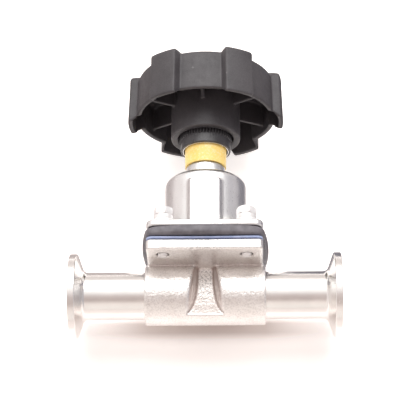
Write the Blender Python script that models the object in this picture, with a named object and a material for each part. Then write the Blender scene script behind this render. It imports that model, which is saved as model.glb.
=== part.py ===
"""Weir-type diaphragm valve with clamp ferrules and a rising, lobed handwheel.

The flow runs along X and the stem stands along +Z. The origin is where the flow
axis crosses the stem axis. Sizes below are millimetres; meshes are in metres.
The valve is modelled fully open, with the diaphragm domed up off the weir.
"""

from math import atan2, cos, hypot, pi, radians, sin

import bmesh
import bpy
from mathutils import Matrix, Vector

MM = 0.001
SHARP_ANGLE = radians(35)

# Clearance left between pieces that rest on or clamp each other.
GAP = 0.3

# Flow line
FACE_TO_FACE = 108.0
BORE_RADIUS = 8.0
TUBE_RADIUS = 9.5
FERRULE_RADIUS = 17.0
FERRULE_RIM = 2.85
FERRULE_BACK_ANGLE = radians(20)
FERRULE_FILLET = 1.6
GROOVE_RADIUS = 13.75
GROOVE_HALF_WIDTH = 1.0
GROOVE_DEPTH = 1.3

# Cast body
BARREL_RADIUS = 11.85
BARREL_HALF_LENGTH = 24.0
SOCKET_RADIUS = TUBE_RADIUS + GAP
SOCKET_DEPTH = 4.0
FLANGE_HALF = 23.0
FLANGE_CORNER = 2.0
FLANGE_BOTTOM = 10.8
FLANGE_TOP = 15.1
BOWL_RADIUS = 14.5
BOWL_FLOOR = 12.4
WEIR_HALF_WIDTH = 3.2
PASSAGE_HALF_DEPTH = 3.6
BOLT_HALF_PITCH = 16.5
BODY_HOLE_RADIUS = 2.5

# Side recesses under the weir
WEB_HALF = 2.4
RECESS_RAMP_TOP = -1.0
RECESS_RAMP_BOTTOM = 10.3
RECESS_RAMP_Y = 5.9
RECESS_HALF_WIDTHS = [(5.0, 3.0), (6.3, 3.8), (8.4, 7.8)]

# Diaphragm
DIAPHRAGM_HALF = 23.2
DIAPHRAGM_BULGE = 2.2
DIAPHRAGM_CORNER = 4.0
FACE_BOTTOM = FLANGE_TOP + GAP
FACE_THICKNESS = 0.9
FACE_CENTRE = 18.7
BACKING_BOTTOM = FACE_BOTTOM + FACE_THICKNESS + GAP
BACKING_THICKNESS = 3.9
BACKING_BOSS_RADIUS = 5.6
BACKING_BOSS_THICKNESS = 3.4
BACKING_WEB_THICKNESS = 1.9
STUD_RADIUS = 2.5

# Bonnet
BONNET_BOTTOM = BACKING_BOTTOM + BACKING_THICKNESS + GAP
BONNET_FLANGE = 2.8
BONNET_CORNER = 3.6
BONNET_HOLE_RADIUS = 2.4
BONNET_RADIUS = 16.7
BONNET_CAVITY_RADIUS = 14.3
BONNET_TOP = 49.0
BONNET_SHOULDER = 3.0
BOSS_HALF_WIDTH = 7.2
BOSS_Y = 17.3
BOSS_TOP = 44.4
NECK_RADIUS = 8.7
NECK_TOP_RADIUS = 8.0
NECK_TOP = 55.9
SPIGOT_RADIUS = 7.2
SPIGOT_TOP = 64.0
NUT_SEAT = 42.6
NUT_BORE = 6.5

# Stem line
SPINDLE_RADIUS = 4.6
SPINDLE_TOP = 97.0
SPINDLE_HEAD_RADIUS = 4.4
SPINDLE_HEAD_BOTTOM = 33.0
SPINDLE_HEAD_TOP = 35.4
SPINDLE_NECK_RADIUS = 2.6
SPINDLE_NECK_TOP = 38.4
SPINDLE_STEP = 86.0
SPINDLE_STUB_RADIUS = 4.0
SPINDLE_NUT_BORE = 5.0
COMPRESSOR_RADIUS = 11.0
COMPRESSOR_TOP = 37.4

# Indicator and stop sleeves
INDICATOR_RADIUS = 8.5
INDICATOR_TOP_RADIUS = 8.8
INDICATOR_BORE = 7.6
INDICATOR_BOTTOM = NECK_TOP + GAP
INDICATOR_TOP = 72.5
STOP_RADIUS = 10.4
STOP_BORE = 9.2
STOP_BOTTOM = 63.8
STOP_TOP = 85.6
SPLINE_COUNT = 24
SPLINE_RADIUS = 11.0

# Handwheel
HUB_RADIUS = 14.4
HUB_BORE = 11.4
HUB_BOTTOM = 69.4
WHEEL_TOP = 98.0
RIM_TOP = 95.8
VALLEY_RADIUS = 29.0
GRIP_RADIUS = 32.5
SKIRT_WALL = 1.8
GRIP_BOTTOM = 76.6
VALLEY_BOTTOM = 78.9
PLATE_UNDERSIDE = 92.2
GRIPS = 6
GRIP_HALF_ANGLE = 10.6
GRIP_FLANK = 2.6
WHEEL_TURN = 3.0
RIB_BOTTOM = 82.0
RIB_THICKNESS = 1.4
CUP_RADIUS = 11.8
CUP_FLOOR = 90.6

# Fasteners
WASHER_RADIUS = 4.3
SHANK_RADIUS = 2.0
HEAD_ACROSS_FLATS = 7.0
HEAD_HEIGHT = 3.1
FLAT_WASHER_THICKNESS = 1.6
SPRING_WASHER_THICKNESS = 1.5
SCREW_END = 10.2
BOLT_PLACES = [(-1, -1), (1, -1), (1, 1), (-1, 1)]


def clear_scene():
    for obj in list(bpy.data.objects):
        bpy.data.objects.remove(obj, do_unlink=True)


# Materials


def principled(name, colour, roughness, metallic):
    material = bpy.data.materials.new(name)
    material.use_nodes = True
    shader = material.node_tree.nodes["Principled BSDF"]
    shader.inputs["Base Color"].default_value = (*colour, 1.0)
    shader.inputs["Roughness"].default_value = roughness
    shader.inputs["Metallic"].default_value = metallic
    return material


def cast_steel():
    return principled("cast_steel", (0.72, 0.69, 0.66), 0.38, 1.0)


def turned_steel(name):
    return principled(name, (0.80, 0.78, 0.76), 0.20, 1.0)


def zinc_steel(name):
    return principled(name, (0.78, 0.78, 0.78), 0.28, 1.0)


def black_plastic(name):
    return principled(name, (0.055, 0.052, 0.055), 0.48, 0.0)


def yellow_plastic():
    return principled("yellow_plastic", (0.95, 0.70, 0.10), 0.40, 0.0)


def black_rubber(name):
    return principled(name, (0.020, 0.020, 0.022), 0.62, 0.0)


def pale_blue_film():
    return principled("pale_blue_film", (0.35, 0.47, 0.78), 0.45, 0.0)


def bronze():
    return principled("bronze", (0.60, 0.42, 0.20), 0.35, 1.0)


# Shape helpers


def finish_mesh(bm, name):
    """Write a mesh in millimetres to a smooth-shaded Blender mesh in metres."""
    bmesh.ops.scale(bm, vec=Vector((MM, MM, MM)), verts=bm.verts)
    bmesh.ops.recalc_face_normals(bm, faces=bm.faces)
    mesh = bpy.data.meshes.new(name)
    bm.to_mesh(mesh)
    bm.free()
    mesh.shade_smooth()
    mesh.set_sharp_from_angle(angle=SHARP_ANGLE)
    return mesh


def add_object(name, mesh, material=None):
    obj = bpy.data.objects.new(name, mesh)
    bpy.context.scene.collection.objects.link(obj)
    if material:
        mesh.materials.append(material)
    return obj


def place(obj, x=0.0, y=0.0, z=0.0):
    obj.location = (x * MM, y * MM, z * MM)
    return obj


def turned(profile, segments):
    """Spin a (radius, height) profile about Z.

    A profile that starts and ends on the axis is left open there.
    """
    bm = bmesh.new()
    points = [bm.verts.new((radius, 0.0, height)) for radius, height in profile]
    edges = [bm.edges.new(pair) for pair in zip(points, points[1:])]
    if profile[0][0] > 0 or profile[-1][0] > 0:
        edges.append(bm.edges.new((points[-1], points[0])))
    bmesh.ops.spin(
        bm,
        geom=points + edges,
        cent=(0, 0, 0),
        axis=(0, 0, 1),
        angle=2 * pi,
        steps=segments,
    )
    bmesh.ops.remove_doubles(bm, verts=bm.verts, dist=0.001)
    return bm


def extruded(outline, bottom, top):
    """Extrude a list of (x, y) points from one height to another."""
    bm = bmesh.new()
    base = bm.faces.new([bm.verts.new((x, y, bottom)) for x, y in outline])
    risen = bmesh.ops.extrude_face_region(bm, geom=[base])
    moved = [item for item in risen["geom"] if isinstance(item, bmesh.types.BMVert)]
    bmesh.ops.translate(bm, vec=(0, 0, top - bottom), verts=moved)
    return bm


def loft(sections):
    """Join rings of equal length into a closed body with capped ends."""
    bm = bmesh.new()
    rings = [[bm.verts.new(point) for point in ring] for ring in sections]
    for lower, upper in zip(rings, rings[1:]):
        for i in range(len(lower)):
            j = (i + 1) % len(lower)
            bm.faces.new((lower[i], lower[j], upper[j], upper[i]))
    bm.faces.new(rings[0])
    bm.faces.new(rings[-1])
    return bm


def rounded_square(half, corner, steps, bulge=0.0):
    """Square outline whose sides bow out by `bulge` at their middles."""
    points = []
    for quarter in range(4):
        turn = quarter * pi / 2
        for step in range(steps + 1):
            angle = step / steps * pi / 2
            x = half - corner + corner * cos(angle)
            y = half - corner + corner * sin(angle)
            points.append(rotated(x, y, turn))
        if bulge:
            for place_along in (0.5, 0.0, -0.5):
                x = place_along * (half - corner)
                y = half + bulge * (1 - place_along**2)
                points.append(rotated(x, y, turn))
    return points


def rotated(x, y, angle):
    return (x * cos(angle) - y * sin(angle), x * sin(angle) + y * cos(angle))


def hexagon(across_flats, turn=0.0):
    radius = across_flats / 2 / cos(pi / 6)
    return [rotated(radius, 0.0, turn + k * pi / 3) for k in range(6)]


def circle(radius, count, turn=0.0):
    return [rotated(radius, 0.0, turn + 2 * pi * k / count) for k in range(count)]


def cutter(name, bm):
    obj = add_object(name, finish_mesh(bm, name))
    obj.hide_render = True
    obj.display_type = "WIRE"
    return obj


def combine(obj, other, operation):
    modifier = obj.modifiers.new(other.name, "BOOLEAN")
    modifier.operation = operation
    modifier.object = other
    modifier.solver = "EXACT"


def cut(obj, *others):
    for other in others:
        combine(obj, other, "DIFFERENCE")


def join(obj, *others):
    for other in others:
        combine(obj, other, "UNION")


def laid_along_x(bm):
    """Turn a body made about Z so that it lies along X."""
    bmesh.ops.rotate(bm, cent=(0, 0, 0), matrix=Matrix.Rotation(pi / 2, 3, "Y"), verts=bm.verts)
    return bm


def bolt_hole_cutters(name, radius, bottom, top):
    holes = []
    for number, (side_x, side_y) in enumerate(BOLT_PLACES, start=1):
        hole = cutter(f"{name}_{number}", extruded(circle(radius, 16), bottom, top))
        holes.append(place(hole, side_x * BOLT_HALF_PITCH, side_y * BOLT_HALF_PITCH))
    return holes


# Flow line


def ferrule_profile():
    """Clamp ferrule with its tube, from the tube end to the clamp face at height 0."""
    tube_end = BARREL_HALF_LENGTH - SOCKET_DEPTH + GAP - FACE_TO_FACE / 2
    taper_start = FERRULE_RADIUS - 0.4
    taper_end = TUBE_RADIUS + FERRULE_FILLET
    taper_depth = (taper_start - taper_end) * cos(FERRULE_BACK_ANGLE) * sin(FERRULE_BACK_ANGLE)
    fillet_top = -FERRULE_RIM - taper_depth
    return [
        (BORE_RADIUS, tube_end),
        (TUBE_RADIUS, tube_end),
        (TUBE_RADIUS, fillet_top - FERRULE_FILLET),
        (TUBE_RADIUS + 0.45 * FERRULE_FILLET, fillet_top - 0.35 * FERRULE_FILLET),
        (taper_end, fillet_top),
        (taper_start, -FERRULE_RIM),
        (FERRULE_RADIUS, -FERRULE_RIM + 0.4),
        (FERRULE_RADIUS, -0.4),
        (taper_start, 0.0),
        (GROOVE_RADIUS + GROOVE_HALF_WIDTH, 0.0),
        (GROOVE_RADIUS + 0.5 * GROOVE_HALF_WIDTH, -GROOVE_DEPTH),
        (GROOVE_RADIUS - 0.5 * GROOVE_HALF_WIDTH, -GROOVE_DEPTH),
        (GROOVE_RADIUS - GROOVE_HALF_WIDTH, 0.0),
        (BORE_RADIUS, 0.0),
    ]


def make_ferrules():
    mesh = finish_mesh(turned(ferrule_profile(), 32), "ferrule")
    mesh.materials.append(turned_steel("ferrule_steel"))
    for name, side in (("inlet_ferrule", -1), ("outlet_ferrule", 1)):
        ferrule = place(add_object(name, mesh), side * FACE_TO_FACE / 2)
        ferrule.rotation_euler = (0, side * pi / 2, 0)


def bore_ring(x_at, segments=28):
    """Ring round the flow axis whose X position depends on its height."""
    ring = []
    for k in range(segments):
        y, z = rotated(BORE_RADIUS, 0.0, 2 * pi * k / segments)
        ring.append((x_at(z), y, z))
    return ring


def bore_cutter(side):
    """Flow bore of one side, closed by the sloping wall under the weir."""
    outer = bore_ring(lambda z: side * (BARREL_HALF_LENGTH + 1))
    inner = bore_ring(lambda z: side * (8.6 - 0.19 * z))
    return cutter(f"bore_{'inlet' if side < 0 else 'outlet'}", loft([outer, inner]))


def passage_cutter(side):
    """Port that lifts the flow from the bore into the bowl beside the weir."""
    outline = [
        (side * 9.1, 3.4),
        (side * WEIR_HALF_WIDTH, BOWL_FLOOR + 0.8),
        (side * 11.3, BOWL_FLOOR + 0.7),
        (side * 15.2, 3.1),
    ]
    front = [(x, -PASSAGE_HALF_DEPTH, z) for x, z in outline]
    back = [(x, PASSAGE_HALF_DEPTH, z) for x, z in outline]
    return cutter(f"passage_{'inlet' if side < 0 else 'outlet'}", loft([front, back]))


def bowl_cutter():
    profile = [
        (0.0, BOWL_FLOOR),
        (9.0, BOWL_FLOOR + 0.1),
        (12.4, BOWL_FLOOR + 0.9),
        (BOWL_RADIUS, FLANGE_TOP - 0.5),
        (BOWL_RADIUS, FLANGE_TOP + 1.0),
        (0.0, FLANGE_TOP + 1.0),
    ]
    return cutter("bowl", turned(profile, 32))


def socket_cutter(side):
    length = SOCKET_DEPTH + 1
    bm = turned([(0.0, 0.0), (SOCKET_RADIUS, 0.0), (SOCKET_RADIUS, length), (0.0, length)], 32)
    laid_along_x(bm)
    start = BARREL_HALF_LENGTH - SOCKET_DEPTH
    if side < 0:
        bmesh.ops.rotate(bm, cent=(0, 0, 0), matrix=Matrix.Rotation(pi, 3, "Z"), verts=bm.verts)
    bmesh.ops.translate(bm, vec=(side * start, 0, 0), verts=bm.verts)
    return cutter(f"socket_{'inlet' if side < 0 else 'outlet'}", bm)


def recess_cutter(side):
    """Recess between the two bores, with a ramp that runs out at its foot."""
    outside = side * (BARREL_RADIUS + 2)
    web = side * WEB_HALF
    heights = [FLANGE_BOTTOM, RECESS_RAMP_TOP, -RECESS_RAMP_BOTTOM]
    depths = [web, web, side * RECESS_RAMP_Y]
    rings = []
    for height, depth, (mouth_half, web_half) in zip(heights, depths, RECESS_HALF_WIDTHS):
        rings.append(
            [
                (-mouth_half, outside, height),
                (mouth_half, outside, height),
                (web_half, depth, height),
                (-web_half, depth, height),
            ]
        )
    return cutter(f"recess_{'front' if side < 0 else 'back'}", loft(rings))


def make_body():
    outline = rounded_square(FLANGE_HALF, FLANGE_CORNER, 4)
    flange_mesh = finish_mesh(extruded(outline, FLANGE_BOTTOM, FLANGE_TOP), "body")
    body = add_object("body", flange_mesh, cast_steel())
    half = BARREL_HALF_LENGTH
    cylinder = turned([(0.0, -half), (BARREL_RADIUS, -half), (BARREL_RADIUS, half), (0.0, half)], 48)
    join(body, cutter("barrel", laid_along_x(cylinder)))
    for side in (-1, 1):
        cut(body, recess_cutter(side))
    cut(body, passage_cutter(-1), passage_cutter(1), bowl_cutter())
    for side in (-1, 1):
        cut(body, bore_cutter(side), socket_cutter(side))
    cut(body, *bolt_hole_cutters("body_hole", BODY_HOLE_RADIUS, FLANGE_BOTTOM - 1, FLANGE_TOP + 1))


# Diaphragm


def outline_radius(outline, angle):
    """Distance from the centre to a closed outline in the direction `angle`."""
    for (x0, y0), (x1, y1) in zip(outline, outline[1:] + outline[:1]):
        ex, ey = x1 - x0, y1 - y0
        cross = cos(angle) * ey - sin(angle) * ex
        if abs(cross) < 1e-9:
            continue
        distance = (x0 * ey - y0 * ex) / cross
        along = (x0 * sin(angle) - y0 * cos(angle)) / cross
        if distance > 0 and -1e-9 <= along <= 1 + 1e-9:
            return distance
    return hypot(*outline[0])


def sheet_ring(radius, height, angles, outline=None):
    ring = []
    for angle in angles:
        reach = outline_radius(outline, angle) if outline else radius
        ring.append((reach * cos(angle), reach * sin(angle), height))
    return ring


def domed_sheet(lower, upper, outline, blind_hole=None):
    """Domed sheet of square plan.

    `lower` and `upper` list (radius, height) from the centre out; the last
    entry of each lies on `outline` instead of on a circle.
    """
    corners = [atan2(y, x) for x, y in outline]
    angles = sorted(angle % (2 * pi) for angle in corners)
    path = [(r, z, None) for r, z in lower[1:-1]] + [(0, lower[-1][1], outline)]
    path += [(0, upper[-1][1], outline)] + [(r, z, None) for r, z in reversed(upper[1:-1])]
    bm = bmesh.new()
    rings = [[bm.verts.new(p) for p in sheet_ring(r, z, angles, edge)] for r, z, edge in path]
    for inner, outer in zip(rings, rings[1:]):
        for i in range(len(inner)):
            j = (i + 1) % len(inner)
            bm.faces.new((inner[i], inner[j], outer[j], outer[i]))
    for ring, height in ((rings[0], lower[0][1]), (rings[-1], upper[0][1])):
        centre = bm.verts.new((0, 0, height))
        for i in range(len(ring)):
            bm.faces.new((ring[i], ring[(i + 1) % len(ring)], centre))
    return bm


def dome_height(radius):
    """Height of the underside of the open diaphragm's film at a radius."""
    flat, edge = 4.6, BOWL_RADIUS - 0.3
    if radius <= flat:
        return FACE_CENTRE
    if radius >= edge:
        return FACE_BOTTOM
    share = (radius - flat) / (edge - flat)
    return FACE_BOTTOM + (FACE_CENTRE - FACE_BOTTOM) * (0.5 + 0.5 * cos(pi * share))


SHEET_RADII = [0.0, 4.6, 6.8, 9.0, 11.2, 14.2]


def diaphragm_outline():
    return rounded_square(DIAPHRAGM_HALF, DIAPHRAGM_CORNER, 4, DIAPHRAGM_BULGE)


def make_diaphragm_face():
    lower = [(r, dome_height(r)) for r in SHEET_RADII] + [(0, FACE_BOTTOM)]
    upper = [(r, z + FACE_THICKNESS) for r, z in lower]
    bm = domed_sheet(lower, upper, rounded_square(FLANGE_HALF, FLANGE_CORNER, 5))
    face = add_object("diaphragm_face", finish_mesh(bm, "diaphragm_face"), pale_blue_film())
    cut(face, *bolt_hole_cutters("face_hole", BODY_HOLE_RADIUS, FACE_BOTTOM - 1, FACE_BOTTOM + 2))


def backing_top(radius):
    rest = dome_height(radius) + FACE_THICKNESS + GAP
    if radius <= BACKING_BOSS_RADIUS:
        return rest + BACKING_BOSS_THICKNESS
    return min(rest + BACKING_WEB_THICKNESS, BACKING_BOTTOM + BACKING_THICKNESS)


def make_diaphragm_backing():
    below = FACE_THICKNESS + GAP
    lower = [(r, dome_height(r) + below) for r in SHEET_RADII] + [(0, BACKING_BOTTOM)]
    radii = [0.0, 4.6, 6.2, 8.2, 10.6, 12.6]
    upper = [(r, backing_top(r)) for r in radii]
    upper += [(BOWL_RADIUS - 0.3, BACKING_BOTTOM + BACKING_THICKNESS)]
    upper += [(0, BACKING_BOTTOM + BACKING_THICKNESS)]
    lower.insert(-1, (BOWL_RADIUS + 1.5, BACKING_BOTTOM))
    bm = domed_sheet(lower, upper, diaphragm_outline())
    mesh = finish_mesh(bm, "diaphragm_backing")
    backing = add_object("diaphragm_backing", mesh, black_rubber("backing_rubber"))
    top = BACKING_BOTTOM + BACKING_THICKNESS + 1
    cut(backing, *bolt_hole_cutters("backing_hole", BODY_HOLE_RADIUS, BACKING_BOTTOM - 1, top))
    pocket = extruded(circle(STUD_RADIUS + GAP, 20), stud_bottom() - GAP, backing_top(0) + 1)
    cut(backing, cutter("stud_pocket", pocket))


def stud_bottom():
    return backing_top(0) - BACKING_BOSS_THICKNESS + 1.2


def stud_top():
    return SPINDLE_HEAD_BOTTOM - 2.4


def make_stud():
    profile = [
        (0.0, stud_bottom()),
        (STUD_RADIUS, stud_bottom()),
        (STUD_RADIUS, stud_top() - 0.4),
        (STUD_RADIUS - 0.4, stud_top()),
        (0.0, stud_top()),
    ]
    mesh = finish_mesh(turned(profile, 20), "diaphragm_stud")
    add_object("diaphragm_stud", mesh, turned_steel("stud_steel"))


def make_compressor():
    """Presser block with a T-slot in its top for the spindle head."""
    bottom = backing_top(0) + GAP
    profile = [
        (0.0, bottom),
        (COMPRESSOR_RADIUS - 3.0, bottom),
        (COMPRESSOR_RADIUS, bottom + 2.0),
        (COMPRESSOR_RADIUS, COMPRESSOR_TOP - 0.6),
        (COMPRESSOR_RADIUS - 0.6, COMPRESSOR_TOP),
        (0.0, COMPRESSOR_TOP),
    ]
    mesh = finish_mesh(turned(profile, 32), "compressor")
    compressor = add_object("compressor", mesh, cast_steel())
    stud_hole = extruded(circle(STUD_RADIUS + GAP, 20), bottom - 1, stud_top() + GAP)
    cut(compressor, cutter("stud_hole", stud_hole))
    slots = (
        ("head_slot", SPINDLE_HEAD_RADIUS + 0.4, SPINDLE_HEAD_BOTTOM - GAP, SPINDLE_HEAD_TOP + GAP),
        ("neck_slot", SPINDLE_NECK_RADIUS + 0.5, SPINDLE_HEAD_TOP - 0.5, COMPRESSOR_TOP + 1),
    )
    for name, half, low, high in slots:
        mouth = COMPRESSOR_RADIUS + 1
        outline = [(-half, -half), (half, -half), (half, mouth), (-half, mouth)]
        cut(compressor, cutter(name, extruded(outline, low, high)))


# Bonnet and what it holds


def bonnet_profile():
    """Outside of the round part of the bonnet, from its axis up to its axis again."""
    shoulder = BONNET_SHOULDER
    return [
        (0.0, BONNET_BOTTOM),
        (BONNET_RADIUS, BONNET_BOTTOM),
        (BONNET_RADIUS, BONNET_TOP - shoulder),
        (BONNET_RADIUS - 0.134 * shoulder, BONNET_TOP - 0.5 * shoulder),
        (BONNET_RADIUS - 0.5 * shoulder, BONNET_TOP - 0.134 * shoulder),
        (BONNET_RADIUS - shoulder, BONNET_TOP),
        (NECK_RADIUS + 0.8, BONNET_TOP),
        (NECK_RADIUS, BONNET_TOP + 0.8),
        (NECK_TOP_RADIUS, NECK_TOP),
        (SPIGOT_RADIUS, NECK_TOP),
        (SPIGOT_RADIUS, SPIGOT_TOP),
        (0.0, SPIGOT_TOP),
    ]


def boss_block():
    """Flat-faced boss that stands out of the front and back of the bonnet."""
    outline = [
        (-BOSS_HALF_WIDTH, -BOSS_Y),
        (BOSS_HALF_WIDTH, -BOSS_Y),
        (BOSS_HALF_WIDTH + 0.6, -BOSS_Y + 2.4),
        (BOSS_HALF_WIDTH + 0.6, BOSS_Y - 2.4),
        (BOSS_HALF_WIDTH, BOSS_Y),
        (-BOSS_HALF_WIDTH, BOSS_Y),
        (-BOSS_HALF_WIDTH - 0.6, BOSS_Y - 2.4),
        (-BOSS_HALF_WIDTH - 0.6, -BOSS_Y + 2.4),
    ]
    return extruded(outline, BONNET_BOTTOM + 1, BOSS_TOP)


def cavity_block():
    """Cutter that keeps the bonnet's inside clear of its flange and bosses."""
    profile = [
        (0.0, BONNET_BOTTOM - 1),
        (BONNET_CAVITY_RADIUS, BONNET_BOTTOM - 1),
        (BONNET_CAVITY_RADIUS, NUT_SEAT - 4.5),
        (BONNET_CAVITY_RADIUS - 1.5, NUT_SEAT - 3.0),
        (SPINDLE_NUT_BORE, NUT_SEAT - 3.0),
        (SPINDLE_NUT_BORE, NUT_SEAT - 1.6),
        (NUT_BORE, NUT_SEAT - 1.6),
        (NUT_BORE, SPIGOT_TOP + 1),
        (0.0, SPIGOT_TOP + 1),
    ]
    return turned(profile, 36)


def make_bonnet():
    mesh = finish_mesh(turned(bonnet_profile(), 40), "bonnet")
    bonnet = add_object("bonnet", mesh, turned_steel("bonnet_steel"))
    flange_top = BONNET_BOTTOM + BONNET_FLANGE
    flange = extruded(rounded_square(FLANGE_HALF, BONNET_CORNER, 5), BONNET_BOTTOM, flange_top)
    join(bonnet, cutter("bonnet_flange", flange), cutter("bonnet_boss", boss_block()))
    cut(bonnet, cutter("bonnet_cavity", cavity_block()))
    holes = bolt_hole_cutters("bonnet_hole", BONNET_HOLE_RADIUS, BONNET_BOTTOM - 1, flange_top + 1)
    cut(bonnet, *holes)


def make_spindle_nut():
    outer = NUT_BORE - GAP
    profile = [
        (SPINDLE_NUT_BORE, NUT_SEAT),
        (outer, NUT_SEAT),
        (outer, SPIGOT_TOP + GAP),
        (SPIGOT_RADIUS, SPIGOT_TOP + GAP),
        (SPIGOT_RADIUS, SPIGOT_TOP + 1.5),
        (SPINDLE_NUT_BORE, SPIGOT_TOP + 1.5),
    ]
    mesh = finish_mesh(turned(profile, 32), "spindle_nut")
    add_object("spindle_nut", mesh, bronze())


def make_o_ring():
    section = 0.55
    centre_radius = (SPINDLE_NUT_BORE + NUT_BORE) / 2
    centre_height = NUT_SEAT - 0.85
    profile = [(centre_radius + x, centre_height + z) for x, z in circle(section, 6, pi / 6)]
    mesh = finish_mesh(turned(profile, 24), "gland_o_ring")
    add_object("gland_o_ring", mesh, black_rubber("o_ring_rubber"))


def make_indicator_sleeve():
    profile = [
        (INDICATOR_BORE, INDICATOR_BOTTOM),
        (INDICATOR_RADIUS, INDICATOR_BOTTOM),
        (INDICATOR_TOP_RADIUS, INDICATOR_TOP),
        (INDICATOR_BORE, INDICATOR_TOP),
    ]
    mesh = finish_mesh(turned(profile, 40), "indicator_sleeve")
    add_object("indicator_sleeve", mesh, yellow_plastic())


# Pieces that turn with the handwheel


def make_spindle():
    profile = [
        (0.0, SPINDLE_HEAD_BOTTOM),
        (SPINDLE_HEAD_RADIUS, SPINDLE_HEAD_BOTTOM),
        (SPINDLE_HEAD_RADIUS, SPINDLE_HEAD_TOP),
        (SPINDLE_NECK_RADIUS, SPINDLE_HEAD_TOP),
        (SPINDLE_NECK_RADIUS, SPINDLE_NECK_TOP),
        (SPINDLE_RADIUS, SPINDLE_NECK_TOP + 1.2),
        (SPINDLE_RADIUS, SPINDLE_STEP),
        (SPINDLE_STUB_RADIUS, SPINDLE_STEP + 0.4),
        (SPINDLE_STUB_RADIUS, SPINDLE_TOP - 0.6),
        (SPINDLE_STUB_RADIUS - 0.6, SPINDLE_TOP),
        (0.0, SPINDLE_TOP),
    ]
    mesh = finish_mesh(turned(profile, 28), "spindle")
    add_object("spindle", mesh, turned_steel("spindle_steel"))


def spline_outline():
    points = []
    pitch = 2 * pi / SPLINE_COUNT
    for k in range(SPLINE_COUNT):
        for share, radius in ((0.0, STOP_RADIUS), (0.5, SPLINE_RADIUS)):
            points.append(rotated(radius, 0.0, (k + share) * pitch))
    return points


def make_stop_sleeve():
    """Plastic sleeve splined into the hub, closed round the spindle at its top."""
    web_bottom = STOP_TOP - 2.4
    spindle_clear = SPINDLE_RADIUS + 0.4
    profile = [
        (STOP_BORE, STOP_BOTTOM),
        (STOP_RADIUS, STOP_BOTTOM),
        (STOP_RADIUS, STOP_TOP),
        (spindle_clear, STOP_TOP),
        (spindle_clear, web_bottom),
        (STOP_BORE, web_bottom),
    ]
    mesh = finish_mesh(turned(profile, 40), "stop_sleeve")
    sleeve = add_object("stop_sleeve", mesh, black_plastic("sleeve_plastic"))
    spline = extruded(spline_outline(), STOP_BOTTOM + 9.0, STOP_TOP - 0.6)
    inner = cutter("spline_inner", extruded(circle(STOP_BORE + 0.3, 40), STOP_BOTTOM, STOP_TOP + 1))
    ring = cutter("spline", spline)
    cut(ring, inner)
    join(sleeve, ring)


def grip_share(angle):
    """0 in a valley of the rim, 1 on a grip, with sloping flanks between."""
    period = 360.0 / GRIPS
    offset = abs((angle + period / 2) % period - period / 2)
    share = (GRIP_HALF_ANGLE + GRIP_FLANK - offset) / GRIP_FLANK
    return min(1.0, max(0.0, share))


def wheel_angles():
    """Angles in degrees from a grip's centre at which the rim is sampled."""
    flank = GRIP_HALF_ANGLE + GRIP_FLANK
    steps = [-flank, -GRIP_HALF_ANGLE, -3.7, 3.7, GRIP_HALF_ANGLE, flank, 21.8, 30.0, 38.2]
    return [period * 360.0 / GRIPS + step for period in range(GRIPS) for step in steps]


def wheel_section(share):
    """(radius, height) section of hub, top plate and skirt at one angle."""
    reach = (GRIP_RADIUS - VALLEY_RADIUS) * share
    rim = VALLEY_RADIUS + reach
    bottom = VALLEY_BOTTOM + (GRIP_BOTTOM - VALLEY_BOTTOM) * share
    lift = 0.9 * share
    return [
        (HUB_BORE, HUB_BOTTOM),
        (HUB_RADIUS, HUB_BOTTOM),
        (HUB_RADIUS, PLATE_UNDERSIDE),
        (rim - SKIRT_WALL - 1.2, PLATE_UNDERSIDE - 0.6),
        (rim - SKIRT_WALL, bottom),
        (rim, bottom),
        (rim - 0.5, RIM_TOP - 2.2 + lift),
        (rim - 1.6, RIM_TOP + lift),
        (VALLEY_RADIUS - 6.0 + reach, RIM_TOP + 1.2 + lift),
        (CUP_RADIUS + 1.0, WHEEL_TOP),
        (CUP_RADIUS, WHEEL_TOP - 0.8),
        (CUP_RADIUS, CUP_FLOOR),
        (SPINDLE_STUB_RADIUS + 0.4, CUP_FLOOR),
        (SPINDLE_STUB_RADIUS + 0.4, STOP_TOP + 1.4),
        (HUB_BORE, STOP_TOP + 1.4),
    ]


def wheel_shell():
    bm = bmesh.new()
    columns = []
    for angle in wheel_angles():
        section = wheel_section(grip_share(angle))
        turn = radians(angle)
        columns.append([bm.verts.new((r * cos(turn), r * sin(turn), z)) for r, z in section])
    for near, far in zip(columns, columns[1:] + columns[:1]):
        for i in range(len(near)):
            j = (i + 1) % len(near)
            bm.faces.new((near[i], far[i], far[j], near[j]))
    return bm


def rib_block():
    inner = HUB_RADIUS - 0.8
    outer = VALLEY_RADIUS - 1.2
    half = RIB_THICKNESS / 2
    outline = [(inner, -half), (outer, -half), (outer, half), (inner, half)]
    return extruded(outline, RIB_BOTTOM, PLATE_UNDERSIDE + 0.8)


def make_handwheel():
    """Lobed shell on a hub, stiffened by a rib behind each valley of the rim."""
    mesh = finish_mesh(wheel_shell(), "handwheel")
    wheel = add_object("handwheel", mesh, black_plastic("wheel_plastic"))
    for number in range(GRIPS):
        rib = cutter(f"rib_{number + 1}", rib_block())
        rib.rotation_euler = (0, 0, radians((number + 0.5) * 360.0 / GRIPS))
        rib.parent = wheel
        join(wheel, rib)
    wheel.rotation_euler = (0, 0, radians(wheel_rest_angle()))


def wheel_rest_angle():
    """Turn that brings a valley close to the -Y side."""
    valley = -90.0 - WHEEL_TURN
    return valley - 180.0 / GRIPS


def make_handwheel_washer():
    low = CUP_FLOOR + GAP
    inner = SPINDLE_STUB_RADIUS + 0.4
    profile = [(inner, low), (8.5, low), (8.5, low + 1.2), (inner, low + 1.2)]
    mesh = finish_mesh(turned(profile, 28), "handwheel_washer")
    add_object("handwheel_washer", mesh, zinc_steel("washer_zinc"))


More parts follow.
